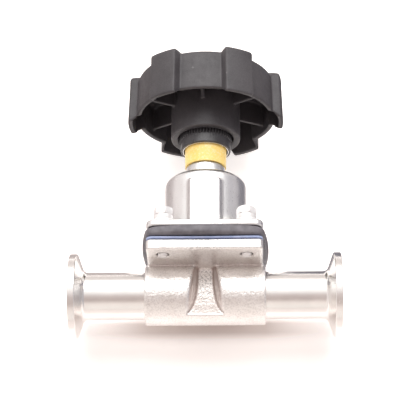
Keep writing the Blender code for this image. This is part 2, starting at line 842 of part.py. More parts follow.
def make_handwheel_nut():
    low = CUP_FLOOR + 1.2 + 2 * GAP
    mesh = finish_mesh(extruded(hexagon(13.0), low, low + 3.6), "handwheel_nut")
    nut = add_object("handwheel_nut", mesh, zinc_steel("nut_zinc"))
    bore = extruded(circle(SPINDLE_STUB_RADIUS + 0.35, 24), low - 1, low + 5)
    cut(nut, cutter("nut_bore", bore))


def make_handwheel_cap():
    radius = CUP_RADIUS - GAP
    profile = [
        (0.0, WHEEL_TOP),
        (radius - 1.4, WHEEL_TOP),
        (radius - 1.4, CUP_FLOOR + 4.2),
        (radius, CUP_FLOOR + 4.2),
        (radius, WHEEL_TOP + 0.6),
        (radius - 1.0, WHEEL_TOP + 1.4),
        (0.0, WHEEL_TOP + 1.6),
    ]
    mesh = finish_mesh(turned(profile, 36), "handwheel_cap")
    add_object("handwheel_cap", mesh, black_plastic("cap_plastic"))


# Flange fasteners


def flat_washer_bottom():
    return BONNET_BOTTOM + BONNET_FLANGE + GAP


def spring_washer_bottom():
    return flat_washer_bottom() + FLAT_WASHER_THICKNESS + GAP


def head_bottom():
    return spring_washer_bottom() + SPRING_WASHER_THICKNESS + GAP


def flat_washer_mesh():
    inner = SHANK_RADIUS + GAP
    top = FLAT_WASHER_THICKNESS
    profile = [(inner, 0.0), (WASHER_RADIUS, 0.0), (WASHER_RADIUS, top), (inner, top)]
    return finish_mesh(turned(profile, 18), "flat_washer")


def spring_washer_mesh():
    """Split ring with a narrow slot through one side."""
    inner = SHANK_RADIUS + GAP
    outer = WASHER_RADIUS - 0.4
    split = radians(8)
    count = 14
    top = SPRING_WASHER_THICKNESS
    corners = [(inner, 0.0), (outer, 0.0), (outer, top), (inner, top)]
    turns = [split + (2 * pi - 2 * split) * k / count for k in range(count + 1)]
    rings = []
    for turn in turns:
        rings.append([(*rotated(radius, 0.0, turn), height) for radius, height in corners])
    return finish_mesh(loft(rings), "spring_washer")


def screw_mesh():
    """Hexagon head on a plain shank, with the head's underside at height 0."""
    bm = extruded(hexagon(HEAD_ACROSS_FLATS, radians(20)), 0.0, HEAD_HEIGHT)
    top = [face for face in bm.faces if face.calc_center_median().z > HEAD_HEIGHT - 0.01]
    edge = [e for face in top for e in face.edges]
    bmesh.ops.bevel(bm, geom=edge, offset=0.4, segments=1, affect="EDGES", profile=0.5)
    return finish_mesh(bm, "flange_screw")


def make_fasteners():
    screw = screw_mesh()
    screw.materials.append(zinc_steel("screw_zinc"))
    spring = spring_washer_mesh()
    spring.materials.append(zinc_steel("spring_zinc"))
    flat = flat_washer_mesh()
    flat.materials.append(zinc_steel("flat_zinc"))
    shank_length = head_bottom() - SCREW_END
    for number, (side_x, side_y) in enumerate(BOLT_PLACES, start=1):
        x, y = side_x * BOLT_HALF_PITCH, side_y * BOLT_HALF_PITCH
        head = place(add_object(f"flange_screw_{number}", screw), x, y, head_bottom())
        shank = cutter(f"shank_{number}", extruded(circle(SHANK_RADIUS, 16), -shank_length, 0.5))
        place(shank, x, y, head_bottom())
        join(head, shank)
        place(add_object(f"spring_washer_{number}", spring), x, y, spring_washer_bottom())
        place(add_object(f"flat_washer_{number}", flat), x, y, flat_washer_bottom())


def main():
    clear_scene()
    make_body()
    make_ferrules()
    make_diaphragm_face()
    make_diaphragm_backing()
    make_stud()
    make_compressor()
    make_bonnet()
    make_spindle_nut()
    make_o_ring()
    make_indicator_sleeve()
    make_spindle()
    make_stop_sleeve()
    make_handwheel()
    make_handwheel_washer()
    make_handwheel_nut()
    make_handwheel_cap()
    make_fasteners()


main()
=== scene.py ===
"""Finished look of a weir-type diaphragm valve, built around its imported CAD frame.

The flow runs along X and the stem stands along +Z. Shapes are worked out in
millimetres in the frame's own axes and written to meshes in metres. Cast and
moulded pieces are distance fields turned into meshes; turned pieces are lathed.
"""

from math import cos, pi, radians, sin

import bpy
import numpy as np
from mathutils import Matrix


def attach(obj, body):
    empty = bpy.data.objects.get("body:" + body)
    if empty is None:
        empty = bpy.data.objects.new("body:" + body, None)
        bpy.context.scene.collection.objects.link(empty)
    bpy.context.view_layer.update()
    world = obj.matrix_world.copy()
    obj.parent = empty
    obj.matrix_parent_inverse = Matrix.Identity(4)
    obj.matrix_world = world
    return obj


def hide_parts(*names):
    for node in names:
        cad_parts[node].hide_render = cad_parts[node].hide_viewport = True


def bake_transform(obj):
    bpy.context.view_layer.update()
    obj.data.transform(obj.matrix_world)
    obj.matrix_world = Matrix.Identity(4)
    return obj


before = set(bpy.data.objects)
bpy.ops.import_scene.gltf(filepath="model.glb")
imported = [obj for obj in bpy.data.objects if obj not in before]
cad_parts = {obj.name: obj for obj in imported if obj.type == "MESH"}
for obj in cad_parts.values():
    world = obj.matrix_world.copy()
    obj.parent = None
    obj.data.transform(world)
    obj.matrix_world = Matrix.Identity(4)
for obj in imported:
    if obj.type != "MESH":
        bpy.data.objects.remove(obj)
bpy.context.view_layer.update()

import openvdb
from mathutils import Vector

MM = 0.001

# Flow line
FACE_X = 54.0
BORE_RADIUS = 8.0
TUBE_RADIUS = 9.5
TUBE_START = 20.3
FERRULE_RADIUS = 17.0
FERRULE_RIM = 2.85
FERRULE_BACK_SLOPE = 0.364
GROOVE_RADIUS = 13.75

# Cast body
BARREL_RADIUS = 11.85
BARREL_HALF = 24.0
SOCKET_RADIUS = 9.8
SOCKET_START = 20.0
FLANGE_HALF = 23.0
FLANGE_BOTTOM = 10.8
FLANGE_TOP = 15.1
BOWL_RADIUS = 14.5
BOWL_FLOOR = 12.4
BOLT_AT = 16.5
HOLE_RADIUS = 2.5

# Diaphragm
FILM_BOTTOM = 15.4
FILM_TOP = 16.3
FILM_CENTRE = 18.7
RUBBER_BOTTOM = 16.6
RUBBER_TOP = 20.5
DIAPHRAGM_HALF = 23.2
DIAPHRAGM_BULGE = 2.2
BEAD_INNER = 14.3
BUTTON_RADIUS = 5.6

# Bonnet
BONNET_BOTTOM = 20.8
BONNET_FLANGE_TOP = 23.6
DRUM_RADIUS = 16.7
DRUM_TOP = 49.3
CAVITY_RADIUS = 14.3
BOSS_Y = 17.3
BOSS_TOP = 44.4
NECK_RADIUS = 8.7
NECK_TOP_RADIUS = 8.0
NECK_TOP = 55.9
SPIGOT_RADIUS = 7.2
SPIGOT_TOP = 64.0

# Handwheel
HUB_RADIUS = 14.4
HUB_BORE = 11.4
HUB_BOTTOM = 69.4
WHEEL_TOP = 98.0
VALLEY_RADIUS = 29.0
GRIP_REACH = 3.5
GRIPS = 6
GRIP_HALF_ANGLE = 10.6
GRIP_FLANK = 2.6
GRIP_CENTRE = -123.0
PLATE_UNDERSIDE = 92.2
CUP_RADIUS = 11.8
CUP_FLOOR = 90.6
CAP_TOP = 99.6
DRIVE_TEETH = 54

# Fasteners
SCREW_SEGMENTS = 96
THREAD_PITCH = 0.7
SHANK_END = -17.5

# Lathe steps and the span of the painted shade on the web
FINE_SEGMENTS = 144
WEB_SHADE_SPAN = 20.0


# Mesh building


def add_piece(name, points, faces, material, body, slot, nodes, sharp=None):
    """Mesh object from points in millimetres; it rides on a body and stands for CAD nodes."""
    mesh = bpy.data.meshes.new(name)
    mesh.from_pydata((np.asarray(points, float) * MM).tolist(), [], [list(map(int, f)) for f in faces])
    mesh.update()
    mesh.shade_smooth()
    if sharp:
        mesh.set_sharp_from_angle(angle=radians(sharp))
    mesh.materials.append(material)
    piece = bpy.data.objects.new(name, mesh)
    bpy.context.scene.collection.objects.link(piece)
    if nodes:
        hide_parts(*nodes)
    if body:
        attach(piece, body)
    return piece


def weighted(piece):
    """Shade flats flat and fillets round on a piece made of large and small faces."""
    modifier = piece.modifiers.new("weighted_normals", "WEIGHTED_NORMAL")
    modifier.keep_sharp = True
    modifier.weight = 100
    return piece


def smooth_min(a, b, k):
    """Union of two fields with a fillet about `k` wide."""
    h = np.maximum(k - np.abs(a - b), 0.0) / k
    return np.minimum(a, b) - h * h * k * 0.25


def smooth_max(a, b, k):
    """Intersection of two fields with an edge rounded about `k` wide."""
    return -smooth_min(-a, -b, k)


class Grid:
    """Regular grid of points in millimetres."""

    def __init__(self, low, high, pitch):
        self.low = np.array(low, float)
        self.pitch = pitch
        axes = [np.arange(a, b + pitch, pitch, dtype=np.float32) for a, b in zip(low, high)]
        self.x, self.y, self.z = np.meshgrid(*axes, indexing="ij", sparse=True)

    def surface(self, field):
        """Points and faces of the field's zero level, negative being inside."""
        vdb = openvdb.FloatGrid(10.0)
        vdb.copyFromArray(np.ascontiguousarray(field, np.float32))
        points, quads = vdb.convertToQuads(0.0)
        points = points * self.pitch + self.low
        a, b, c = (points[quads[:, i]] for i in (0, 1, 2))
        d = points[quads[:, 3]]
        volume = np.einsum("ij,ij->i", a, np.cross(b, c) + np.cross(c, d)).sum()
        return points, quads if volume > 0 else quads[:, ::-1]


def rounded_square(x, y, half, corner):
    """Distance to a square of half side `half` with rounded corners."""
    qx, qy = np.abs(x) - (half - corner), np.abs(y) - (half - corner)
    outside = np.hypot(np.maximum(qx, 0), np.maximum(qy, 0))
    return outside + np.minimum(np.maximum(qx, qy), 0) - corner


def slab(z, low, high):
    """Distance to the layer between two heights."""
    return np.maximum(low - z, z - high)


def convex(u, v, corners):
    """Distance to a convex outline whose corners run anticlockwise."""
    result = None
    for (u0, v0), (u1, v1) in zip(corners, corners[1:] + corners[:1]):
        du, dv = u1 - u0, v1 - v0
        side = ((u - u0) * dv - (v - v0) * du) / np.hypot(du, dv)
        result = side if result is None else np.maximum(result, side)
    return result


def bolt_holes(grid, radius):
    """The four flange holes along the stem's direction."""
    return np.hypot(np.abs(grid.x) - BOLT_AT, np.abs(grid.y) - BOLT_AT) - radius


def ripple(grid, seed, shortest, longest, count):
    """Uneven surface of a casting: waves in seeded random directions, about -1 to 1."""
    random = np.random.default_rng(seed)
    total = np.zeros(np.broadcast(grid.x, grid.y, grid.z).shape, np.float32)
    for _ in range(count):
        direction = random.normal(size=3)
        direction *= 2 * pi / random.uniform(shortest, longest) / np.linalg.norm(direction)
        phase = random.uniform(0, 2 * pi)
        total += np.sin(direction[0] * grid.x + direction[1] * grid.y + direction[2] * grid.z + phase)
    return total / np.sqrt(count)


def ring_mesh(rings, closed):
    """Skin over rings of equal length; open stacks are capped at both ends."""
    count = len(rings[0])
    points = [p for ring in rings for p in ring]
    faces = []
    pairs = list(zip(range(len(rings)), range(1, len(rings))))
    if closed:
        pairs.append((len(rings) - 1, 0))
    for low, high in pairs:
        for i in range(count):
            j = (i + 1) % count
            faces.append((low * count + i, low * count + j, high * count + j, high * count + i))
    if not closed:
        for start, flip in ((0, True), ((len(rings) - 1) * count, False)):
            centre = len(points)
            points.append(np.mean(rings[start // count], axis=0))
            for i in range(count):
                j = (i + 1) % count
                face = (start + i, start + j, centre)
                faces.append(face[::-1] if flip else face)
    return np.array(points), faces


def filleted(profile, closed, steps=4):
    """Round the corners of a (radius, height, fillet) profile."""
    points = []
    last = len(profile)
    for i, (r, z, fillet) in enumerate(profile):
        corner = np.array((r, z), float)
        ends = not closed and i in (0, last - 1)
        if ends or not fillet:
            points.append(corner)
            continue
        before = np.array(profile[i - 1][:2], float) - corner
        after = np.array(profile[(i + 1) % last][:2], float) - corner
        start = corner + before / np.linalg.norm(before) * fillet
        end = corner + after / np.linalg.norm(after) * fillet
        for step in range(steps + 1):
            t = step / steps
            points.append((1 - t) ** 2 * start + 2 * t * (1 - t) * corner + t * t * end)
    return points


def lathe(profile, segments, closed=True, reach=None):
    """Spin a filleted (radius, height) profile about Z. `reach` may change each ring's radii."""
    angles = np.arange(segments) * 2 * pi / segments
    rings = []
    for r, z in filleted(profile, closed):
        radii = np.full(segments, max(r, 0.01)) if reach is None else reach(r, z, angles)
        rings.append(np.stack([radii * np.cos(angles), radii * np.sin(angles), np.full(segments, z)], 1))
    return oriented(*ring_mesh(rings, closed))


def oriented(points, faces):
    """Turn all faces round if the body is inside out."""
    first = np.array([f[:3] for f in faces])
    last = np.array([(f[0], f[2], f[-1]) for f in faces])
    volume = 0.0
    for tri in (first, last):
        a, b, c = points[tri[:, 0]], points[tri[:, 1]], points[tri[:, 2]]
        volume += np.einsum("ij,ij->i", a, np.cross(b, c)).sum()
    return points, faces if volume > 0 else [f[::-1] for f in faces]


def moved(points, x=0.0, y=0.0, z=0.0):
    """Points shifted along the axes."""
    return points + np.array((x, y, z))


# Cast body


def recess(grid):
    """Hollow between the two bores, with a ramp that runs out at its foot."""
    depth = np.abs(grid.y)
    heights = [-10.3, -8.0, -5.5, -2.0, 1.0, 4.0, FLANGE_BOTTOM]
    web = np.interp(grid.z, heights, [5.9, 5.0, 4.05, 3.1, 2.65, 2.5, 2.4])
    inner = np.interp(grid.z, heights, [8.0, 6.0, 4.8, 3.9, 3.5, 3.2, 3.0])
    mouth = np.interp(grid.z, heights, [8.4, 7.5, 6.9, 6.3, 5.8, 5.3, 5.0])
    outside = BARREL_RADIUS + 2
    half = inner + (mouth - inner) * (depth - web) / (outside - web)
    walls = np.abs(grid.x) - half
    hollow = smooth_max(walls, (web - depth) * 0.93, 0.9)
    return np.maximum(hollow, -10.3 - grid.z)


def flow_passages(grid):
    """Bores closed by the sloping wall under the weir, tube sockets and ports into the bowl."""
    along = np.abs(grid.x)
    round_x = np.hypot(grid.y, grid.z)
    bore = np.maximum(round_x - BORE_RADIUS, 8.6 - 0.19 * grid.z - along)
    socket = np.maximum(round_x - SOCKET_RADIUS, SOCKET_START - along)
    outline = [(9.1, 3.4), (15.2, 3.1), (11.3, 13.1), (3.2, 13.2)]
    port = np.maximum(convex(along, grid.z, outline), np.abs(grid.y) - 3.6)
    round_z = np.hypot(grid.x, grid.y)
    floor = BOWL_FLOOR + np.interp(round_z, [0, 9, 12.4, 14.5], [0, 0.1, 0.9, 2.2])
    bowl = np.maximum(round_z - BOWL_RADIUS, floor - grid.z)
    return np.minimum(np.minimum(bore, socket), smooth_min(port, bowl, 0.8))


def make_body(material):
    """Barrel and square flange in one rough casting, with its passages cut out."""
    grid = Grid((-25.2, -24.2, -13.1), (25.2, 24.2, 16.3), 0.36)
    round_x = np.hypot(grid.y, grid.z)
    barrel = smooth_max(round_x - BARREL_RADIUS, np.abs(grid.x) - BARREL_HALF, 0.9)
    plan = rounded_square(grid.x, grid.y, FLANGE_HALF, 2.0)
    flange = smooth_max(plan, slab(grid.z, FLANGE_BOTTOM, FLANGE_TOP), 0.9)
    hollow = recess(grid)
    barrel = smooth_max(barrel, -hollow, np.interp(grid.z, [-9.8, -7.0], [0.3, 1.9]))
    solid = smooth_min(barrel, flange, 1.7)
    rough = np.clip((FLANGE_BOTTOM + 0.6 - grid.z) / 1.6, 0, 1) * np.clip((round_x - 9.9) / 0.8, 0, 1)
    solid = solid + 0.026 * rough * ripple(grid, 7, 0.95, 2.2, 18)
    solid = np.maximum(solid, -flow_passages(grid))
    solid = np.maximum(solid, -bolt_holes(grid, HOLE_RADIUS))
    points, faces = grid.surface(solid)
    add_piece("cast_body", points, faces, material, "valve_body", "body_cast", ["body"])


# Ferrules


def ferrule_profile():
    """(radius, distance back from the clamp face, fillet) round the section."""
    taper_end = TUBE_RADIUS + 1.5
    taper_back = -FERRULE_RIM - (FERRULE_RADIUS - taper_end) * FERRULE_BACK_SLOPE
    tube_end = TUBE_START - FACE_X
    return [
        (BORE_RADIUS, tube_end, 0.2),
        (TUBE_RADIUS, tube_end, 0.3),
        (TUBE_RADIUS, taper_back - 0.5, 1.7),
        (FERRULE_RADIUS, -FERRULE_RIM, 0.4),
        (FERRULE_RADIUS, 0.0, 0.4),
        (GROOVE_RADIUS + 1.0, 0.0, 0.15),
        (GROOVE_RADIUS + 0.6, -1.3, 0.4),
        (GROOVE_RADIUS - 0.6, -1.3, 0.4),
        (GROOVE_RADIUS - 1.0, 0.0, 0.15),
        (BORE_RADIUS, 0.0, 0.25),
    ]


def make_ferrules(material):
    """Tube stubs with clamp rims, lathed once and turned to each end."""
    points, faces = lathe(ferrule_profile(), 160)
    for name, side in (("inlet", -1), ("outlet", 1)):
        turned = np.stack([side * (points[:, 2] + FACE_X), points[:, 1], points[:, 0]], 1)
        piece = oriented(turned, faces)
        ferrule = add_piece(
            f"{name}_clamp_ferrule", *piece, material, "valve_body", "ferrule_steel", [f"{name}_ferrule"], 50
        )
        weighted(ferrule)


# Diaphragm


def dome(radius):
    """Height of the film's underside, domed up off the weir."""
    share = np.clip((radius - 4.6) / (BOWL_RADIUS - 0.3 - 4.6), 0, 1)
    return FILM_BOTTOM + (FILM_CENTRE - FILM_BOTTOM) * (0.5 + 0.5 * np.cos(pi * share))


def diaphragm_outline(grid):
    """Square whose sides bow out where the bolts squeeze it."""
    straight = DIAPHRAGM_HALF - 1.5
    half_x = DIAPHRAGM_HALF + DIAPHRAGM_BULGE * np.maximum(0, 1 - (grid.y / straight) ** 2)
    half_y = DIAPHRAGM_HALF + DIAPHRAGM_BULGE * np.maximum(0, 1 - (grid.x / straight) ** 2)
    return smooth_max(np.abs(grid.x) - half_x, np.abs(grid.y) - half_y, 4.0)


def film_field(grid):
    """Thin film that follows the dome."""
    low = dome(np.hypot(grid.x, grid.y))
    plan = rounded_square(grid.x, grid.y, FLANGE_HALF, 2.4)
    edge = smooth_max(plan, slab(grid.z, low, low + FILM_TOP - FILM_BOTTOM), 0.4)
    return np.maximum(edge, -bolt_holes(grid, HOLE_RADIUS))


def rubber_field(grid):
    """Rubber sheet with a raised middle, a pocket for the stud and bowed sides."""
    radius = np.hypot(grid.x, grid.y)
    low = dome(radius) + RUBBER_BOTTOM - FILM_BOTTOM
    web = np.where(radius > BEAD_INNER, RUBBER_TOP, low + 1.9)
    top = np.where(radius < BUTTON_RADIUS, low + 3.4, web)
    edge = smooth_max(diaphragm_outline(grid), slab(grid.z, low, top), 1.6)
    pocket = np.maximum(radius - 2.8, 20.8 - grid.z)
    return np.maximum(np.maximum(edge, -bolt_holes(grid, HOLE_RADIUS)), -pocket)


def make_diaphragm(label, field_of, node, slot, material, top):
    """A clamped rim, a button that follows the stem, and four quarters between them."""
    grid = Grid((-26.6, -26.6, FILM_BOTTOM - 1), (26.6, 26.6, top), 0.34)
    field = field_of(grid)
    radius = np.hypot(grid.x, grid.y)
    rim = grid.surface(np.maximum(field, BEAD_INNER - radius))
    add_piece(f"{label}_rim", *rim, material, "valve_body", slot, [node])
    button = grid.surface(np.maximum(field, radius - BUTTON_RADIUS))
    add_piece(f"{label}_button", *button, material, "presser", slot, [])
    annulus = np.maximum(slab(radius, BUTTON_RADIUS, BEAD_INNER), field)
    for number in range(4):
        turn = number * pi / 2
        along = grid.x * cos(turn) + grid.y * sin(turn)
        across = grid.y * cos(turn) - grid.x * sin(turn)
        quarter = np.maximum(annulus, (np.abs(across) - along) * 0.707)
        piece = add_piece(f"{label}_web_{number + 1}", *grid.surface(quarter), material, None, slot, [])
        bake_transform(piece)


# Bonnet


def make_bonnet(material):
    """Drum with two flat-faced bosses on a square flange, a neck and a spigot."""
    grid = Grid((-24.2, -24.2, BONNET_BOTTOM - 1), (24.2, 24.2, SPIGOT_TOP + 1), 0.36)
    z = grid.z
    radius = np.hypot(grid.x, grid.y)
    drum = smooth_max(radius - DRUM_RADIUS, z - DRUM_TOP, 3.4)
    flare = 5.8 + 0.62 * np.clip(BOSS_Y - np.abs(grid.y), 0, 2.4)
    boss = smooth_max((np.abs(grid.x) - flare) * 0.85, z - BOSS_TOP, 1.3)
    boss = smooth_max(boss, np.abs(grid.y) - BOSS_Y, 0.4)
    plan = rounded_square(grid.x, grid.y, FLANGE_HALF, 3.6)
    flange = smooth_max(plan, slab(z, BONNET_BOTTOM, BONNET_FLANGE_TOP), 0.8)
    taper = np.interp(z, [DRUM_TOP, NECK_TOP], [NECK_RADIUS, NECK_TOP_RADIUS])
    neck = smooth_max(radius - taper, z - NECK_TOP, 0.3)
    spigot = smooth_max(radius - SPIGOT_RADIUS, z - SPIGOT_TOP, 0.5)
    solid = smooth_min(drum, boss, 0.35)
    solid = smooth_min(solid, smooth_min(neck, spigot, 0.2), 0.3)
    solid = np.maximum(solid, BONNET_BOTTOM + 1 - z)
    solid = smooth_min(solid, flange, 0.9)
    hollow = np.maximum(radius - np.interp(z, [38.1, 39.6, 39.7], [CAVITY_RADIUS, 12.8, 12.8]), z - 39.6)
    throat = np.minimum(radius - 5.0, np.maximum(radius - 6.5, 41.0 - z))
    solid = np.maximum(solid, -np.minimum(hollow, throat))
    solid = np.maximum(solid, -bolt_holes(grid, 2.4))
    add_piece("bonnet_shell", *grid.surface(solid), material, "valve_body", "bonnet_steel", ["bonnet"])


def make_indicator(material):
    """Yellow sleeve that the handwheel's hub slides down over."""
    profile = [(7.6, 56.2, 0.2), (8.5, 56.2, 0.25), (8.8, 72.5, 0.3), (7.6, 72.5, 0.3)]
    sleeve = lathe(profile, FINE_SEGMENTS)
    nodes = ["indicator_sleeve"]
    piece = add_piece("position_sleeve", *sleeve, material, "valve_body", "indicator_yellow", nodes, 50)
    weighted(piece)


# Pieces that turn with the handwheel


def grip_share(angle):
    """0 in a valley of the rim and 1 on a grip, with soft flanks between."""
    period = 360.0 / GRIPS
    offset = np.abs((angle - GRIP_CENTRE + period / 2) % period - period / 2)
    share = np.clip((GRIP_HALF_ANGLE + GRIP_FLANK - offset) / GRIP_FLANK, 0, 1)
    return share * share * (3 - 2 * share) * 0.5 + share * 0.5


def wheel_field(grid):
    """Lobed shell on a hub, stiffened by a rib behind each valley of the rim."""
    z = grid.z
    radius = np.hypot(grid.x, grid.y)
    angle = np.degrees(np.arctan2(grid.y, grid.x))
    share = grip_share(angle)
    slope = (grip_share(angle + 0.2) - grip_share(angle - 0.2)) / radians(0.4) * GRIP_REACH
    steep = np.sqrt(1 + (slope / np.maximum(radius, 1)) ** 2)
    rim = VALLEY_RADIUS + GRIP_REACH * share
    bottom = 78.9 - 2.3 * share
    draft = np.clip((z - bottom) / 16, 0, 1) * 0.5
    wall = (radius - rim + draft) / steep
    fall = np.clip((radius - CUP_RADIUS - 1) / (rim - 7 - CUP_RADIUS), 0, 1) * 1.4
    edge_fall = np.clip((radius - rim + 7) / 5.4, 0, 1.3) * 0.7
    top = WHEEL_TOP + 0.4 + 0.9 * share * np.clip((radius - 18) / 8, 0, 1) - fall - edge_fall
    solid = smooth_max(wall, z - top, 1.6)
    solid = smooth_max(solid, bottom - z, 0.45)
    ceiling = z - PLATE_UNDERSIDE + 0.08 * np.maximum(radius - 22, 0)
    hollow = smooth_max((radius - rim + 1.9 + draft * 2) / steep, ceiling, 1.8)
    solid = smooth_max(solid, -hollow, 0.4)
    hub = smooth_max(radius - HUB_RADIUS, slab(z, HUB_BOTTOM, PLATE_UNDERSIDE + 2), 0.5)
    solid = smooth_min(solid, hub, 1.2)
    return smooth_min(solid, ribs(grid, radius, rim), 0.7), radius


def ribs(grid, radius, rim):
    """Six radial plates between the hub and the rim's valleys."""
    result = None
    for number in range(3):
        turn = radians(GRIP_CENTRE + 30 + 60 * number)
        across = np.abs(grid.y * cos(turn) - grid.x * sin(turn)) - 0.65
        result = across if result is None else np.minimum(result, across)
    result = smooth_max(result, 82.0 - grid.z, 0.3)
    return np.maximum(np.maximum(result, 13.6 - radius), np.maximum(radius - rim + 1.2, grid.z - 93.0))


def make_handwheel(material):
    """Grip shell with its hub bored out and a cup for the cap."""
    grid = Grid((-33.4, -33.4, HUB_BOTTOM - 1), (33.4, 33.4, WHEEL_TOP + 1.2), 0.42)
    solid, radius = wheel_field(grid)
    z = grid.z
    bore = smooth_min(np.maximum(radius - HUB_BORE, z - 87.0), radius - 4.4, 0.2)
    solid = smooth_max(solid, -bore, 0.4)
    solid = smooth_max(solid, -np.maximum(radius - CUP_RADIUS, CUP_FLOOR - z), 0.6)
    add_piece("handwheel_shell", *grid.surface(solid), material, "wheel", "handwheel_black", ["handwheel"])


def make_sleeve_lip(material):
    """Bright ring let into the sleeve's lower mouth."""
    profile = [(9.22, 63.72, 0.04), (9.5, 63.72, 0.08), (9.5, 64.1, 0), (9.22, 64.1, 0)]
    add_piece("sleeve_lip", *lathe(profile, FINE_SEGMENTS), material, "wheel", "sleeve_black", [], 50)


def make_stop_sleeve(material):
    """Sleeve with fine drive teeth where it enters the hub."""
    def reach(r, z, angles):
        """Radius at each angle, toothed along the drive length."""
        if r < 10.3 or not 67.9 < z < 85.4:
            return np.full(len(angles), max(r, 0.01))
        wave = np.abs((angles * DRIVE_TEETH / (2 * pi)) % 1 - 0.5) * 2
        return r - 0.1 + 0.7 * np.clip(wave * 2.2 - 0.6, 0, 1)

    profile = [(9.2, 63.8, 0.3), (10.4, 63.8, 0.45), (10.4, 67.8, 0), (10.45, 68.1, 0), (10.45, 85.2, 0)]
    profile += [(10.4, 85.6, 0.1), (5.0, 85.6, 0.2), (5.0, 83.2, 0.2), (9.2, 83.2, 0.3)]
    sleeve = lathe(profile, DRIVE_TEETH * 12, reach=reach)
    piece = add_piece("drive_sleeve", *sleeve, material, "wheel", "sleeve_black", ["stop_sleeve"], 50)
    weighted(piece)


def make_cap(material):
    """Plug with a slightly crowned top, pressed in the hub's cup."""
    rim = CUP_RADIUS - 0.3
    profile = [(0, WHEEL_TOP, 0), (rim - 1.4, WHEEL_TOP, 0.3), (rim - 1.4, 94.8, 0.2), (rim, 94.8, 0.2)]
    profile += [(rim, 99.4, 1.2), (rim - 2.2, 99.55, 0.5), (6.0, 99.58, 0)]
    profile += [(radius, CAP_TOP, 0) for radius in (3.0, 1.0, 0)]
    piece = lathe(profile, 128, closed=False)
    cap = add_piece("hub_cap", *piece, material, "wheel", "handwheel_black", ["handwheel_cap"], 50)
    weighted(cap)


# Flange fasteners


def hexagon_radii(angles, across_flats, turn):
    """Radius of a hexagon at each angle."""
    return across_flats / 2 / np.cos((angles - turn + pi / 6) % (pi / 3) - pi / 6)


def screw_rings():
    """Chamfered hexagon head over a threaded shank; the head's underside is at height 0."""
    angles = np.arange(SCREW_SEGMENTS) * 2 * pi / SCREW_SEGMENTS
    flat = 3.5
    edge = hexagon_radii(angles, 2 * flat, radians(20) + pi / 6)
    top = 3.1
    rings = []

    def ring(radii, heights):
        """Add one ring of the outline."""
        rings.append(np.stack([radii * np.cos(angles), radii * np.sin(angles), heights + 0 * angles], 1))

    for radius in (1.2, 2.6, 3.2):
        ring(np.full(SCREW_SEGMENTS, radius), top)
    for share in (0.4, 0.75, 0.96, 1.0):
        radii = 3.2 + (edge - 3.2) * share
        ring(radii, top - np.maximum(radii - 3.3, 0) * 0.55 - (share == 1.0) * 0.12)
    collar = np.full(SCREW_SEGMENTS, 3.35)
    for radii, height in ((edge, 1.5), (edge, 0.25), (edge - 0.1, 0.05), (collar, 0.0)):
        ring(radii, height)
    for radius, height in ((2.3, 0.0), (2.02, -0.25)):
        ring(np.full(SCREW_SEGMENTS, radius), height)
    for step in range(132):
        height = -0.6 - step * 0.125
        wave = np.abs((height / THREAD_PITCH - angles / (2 * pi)) % 1 - 0.5) * 2
        ring(2.0 - 0.3 * wave, height)
    for radius, height in ((1.4, SHANK_END), (0.6, SHANK_END - 0.05)):
        ring(np.full(SCREW_SEGMENTS, radius), height)
    return rings


def spring_washer():
    """Split ring of square section whose ends are sprung slightly apart."""
    corners = [(2.3, 0.0), (3.9, 0.0), (3.9, 1.75), (2.3, 1.75)]
    section = filleted([(r, z, 0.2) for r, z in corners], True, 2)
    rings = []
    for turn in np.linspace(radians(8), radians(352), 73):
        lift = 0.1 * turn / (2 * pi)
        rings.append(np.array([(r * cos(turn), r * sin(turn), z + lift) for r, z in section]))
    return oriented(*ring_mesh(rings, False))


def make_fasteners(steel):
    """Four screws, each on a spring washer and a flat washer."""
    screw = oriented(*ring_mesh(screw_rings(), False))
    spring = spring_washer()
    flat = lathe([(2.3, 0.0, 0.1), (4.3, 0.0, 0.15), (4.3, 1.75, 0.25), (2.3, 1.75, 0.15)], 96)
    kinds = (("hex_screw", screw, 27.6, "flange_screw"), ("lock_washer", spring, 25.6, "spring_washer"))
    kinds += (("plain_washer", flat, 23.75, "flat_washer"),)
    for number, (side_x, side_y) in enumerate([(-1, -1), (1, -1), (1, 1), (-1, 1)], start=1):
        for label, (points, faces), height, node in kinds:
            turn = radians(55 * number - 20 if label == "lock_washer" else 27.5 + 2.5 * side_x)
            spun = points.copy()
            spun[:, 0] = points[:, 0] * cos(turn) - points[:, 1] * sin(turn)
            spun[:, 1] = points[:, 0] * sin(turn) + points[:, 1] * cos(turn)
            placed = moved(spun, side_x * BOLT_AT, side_y * BOLT_AT, height)
            name, nodes = f"{label}_{number}", [f"{node}_{number}"]
            piece = add_piece(name, placed, faces, steel, "valve_body", "fastener_steel", nodes, 28)
            weighted(piece)


# Materials


